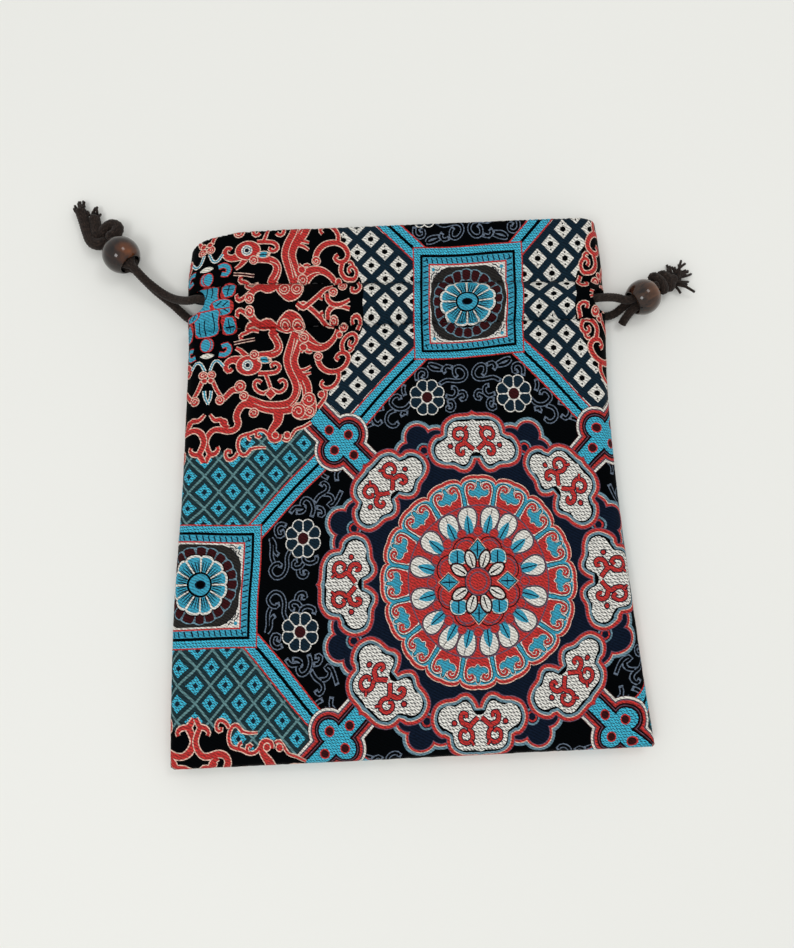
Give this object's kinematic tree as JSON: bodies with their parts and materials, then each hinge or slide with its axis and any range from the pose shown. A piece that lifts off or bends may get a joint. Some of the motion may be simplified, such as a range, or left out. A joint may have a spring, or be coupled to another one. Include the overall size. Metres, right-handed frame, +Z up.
{
  "type": "drawstring bag",
  "caption": "Flat brocade drawstring bag lying on its back, with a stitched casing near the open mouth, cords that draw from both sides, and a bead and knot on the ends of each cord",
  "frame": {"origin": "on the surface that the bag lies on, at the resting_face mount under the middle of the back panel", "axes": "+X across the bag to the right as the front panel is seen, +Y from the bottom seam to the mouth, +Z up out of the front panel"},
  "size_m": [0.2001, 0.1817, 0.0159],
  "materials": {
    "brocade": "black satin ground with raised figures in red, turquoise, cream and navy",
    "cord": "dark brown braided cord, matt",
    "bead": "dark brown wood under clear gloss lacquer"
  },
  "bodies": {
    "root": {"front_panel": "brocade", "back_panel": "brocade", "left_cord_front": "cord", "left_cord_back": "cord", "left_cord_loop": "cord", "right_cord_front": "cord", "right_cord_back": "cord", "right_cord_end": "cord", "right_cord_loop": "cord", "left_bead": "bead", "right_bead": "bead", "left_knot": "cord", "right_knot": "cord"}
  },
  "joints": []
}
